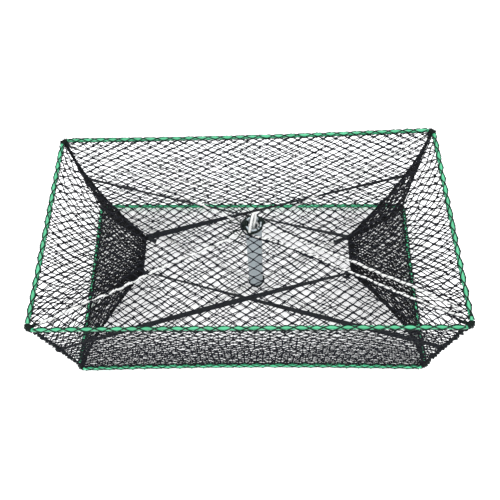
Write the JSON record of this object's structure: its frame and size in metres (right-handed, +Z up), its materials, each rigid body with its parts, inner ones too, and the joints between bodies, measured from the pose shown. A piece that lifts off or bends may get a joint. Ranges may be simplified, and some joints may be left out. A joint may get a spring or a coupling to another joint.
{
  "type": "folding crab trap",
  "caption": "Rectangular folding crab trap: two coated rod frames, knotted net walls, a funnel entrance at each end, and a prop post that tips over so it folds flat.",
  "frame": {"origin": "centre of the footprint, on the plane the trap stands on", "axes": "+X along the long rails, from the left entrance to the right one; -Y is the front; +Z up, out through the top net"},
  "size_m": [0.6192, 0.3392, 0.262],
  "materials": {
    "coated_rod": "green plastic coating on steel rod, satin",
    "net_twine": "black knotted twine netting, matt",
    "lashing_twine": "black laid twine, matt",
    "strap_rubber": "black flat band, satin",
    "white_rope": "off-white twisted rope, matt",
    "post_pipe": "grey rigid pipe, satin"
  },
  "bodies": {
    "base": {"back_left_corner_cord": "lashing_twine", "back_left_strap": "strap_rubber", "back_net": "net_twine", "back_right_corner_cord": "lashing_twine", "back_right_strap": "strap_rubber", "bottom_back_lashing": "lashing_twine", "bottom_back_left_rope": "white_rope", "bottom_back_left_wrap": "lashing_twine", "bottom_back_right_rope": "white_rope", "bottom_back_right_wrap": "lashing_twine", "bottom_frame": "coated_rod", "bottom_front_lashing": "lashing_twine", "bottom_front_left_rope": "white_rope", "bottom_front_left_wrap": "lashing_twine", "bottom_front_right_rope": "white_rope", "bottom_front_right_wrap": "lashing_twine", "bottom_left_lashing": "lashing_twine", "bottom_net": "net_twine", "bottom_right_lashing": "lashing_twine", "front_left_corner_cord": "lashing_twine", "front_left_strap": "strap_rubber", "front_net": "net_twine", "front_right_corner_cord": "lashing_twine", "front_right_strap": "strap_rubber", "left_funnel_back": "net_twine", "left_funnel_front": "net_twine", "left_funnel_lower": "net_twine", "left_funnel_rim": "lashing_twine", "left_funnel_upper": "net_twine", "right_funnel_back": "net_twine", "right_funnel_front": "net_twine", "right_funnel_lower": "net_twine", "right_funnel_rim": "lashing_twine", "right_funnel_upper": "net_twine"},
    "top": {"left_net_knot": "lashing_twine", "right_net_knot": "lashing_twine", "slit_rope": "white_rope", "top_back_lashing": "lashing_twine", "top_back_left_rope": "white_rope", "top_back_left_wrap": "lashing_twine", "top_back_right_rope": "white_rope", "top_back_right_wrap": "lashing_twine", "top_frame": "coated_rod", "top_front_lashing": "lashing_twine", "top_front_left_rope": "white_rope", "top_front_left_wrap": "lashing_twine", "top_front_right_wrap": "lashing_twine", "top_left_lashing": "lashing_twine", "top_net": "net_twine", "top_right_lashing": "lashing_twine"},
    "post": {"post_foot_binding": "lashing_twine", "post_head_binding": "lashing_twine", "post_head_loop": "white_rope", "prop_post": "post_pipe"}
  },
  "joints": [
    {"name": "top_drop", "type": "slide", "parent": "base", "child": "top", "axis": [0, 0, -1], "range_m": [0, 0.196], "deforming": ["back_left_corner_cord", "back_left_strap", "back_net", "back_right_corner_cord", "back_right_strap", "front_left_corner_cord", "front_left_strap", "front_net", "front_right_corner_cord", "front_right_strap", "left_funnel_back", "left_funnel_front", "left_funnel_lower", "left_funnel_rim", "left_funnel_upper", "right_funnel_back", "right_funnel_front", "right_funnel_lower", "right_funnel_rim", "right_funnel_upper"]},
    {"name": "post_tilt", "type": "hinge", "parent": "base", "child": "post", "pos_m": [0.02341, -0.00972, 0.0089], "axis": [0.4478, 0.8942, 0], "range_deg": [0, 90], "deforming": ["slit_rope"]}
  ],
  "couplings": [
    {"joint": "post_tilt", "follows": "top_drop", "rad_per_m": 8}
  ]
}
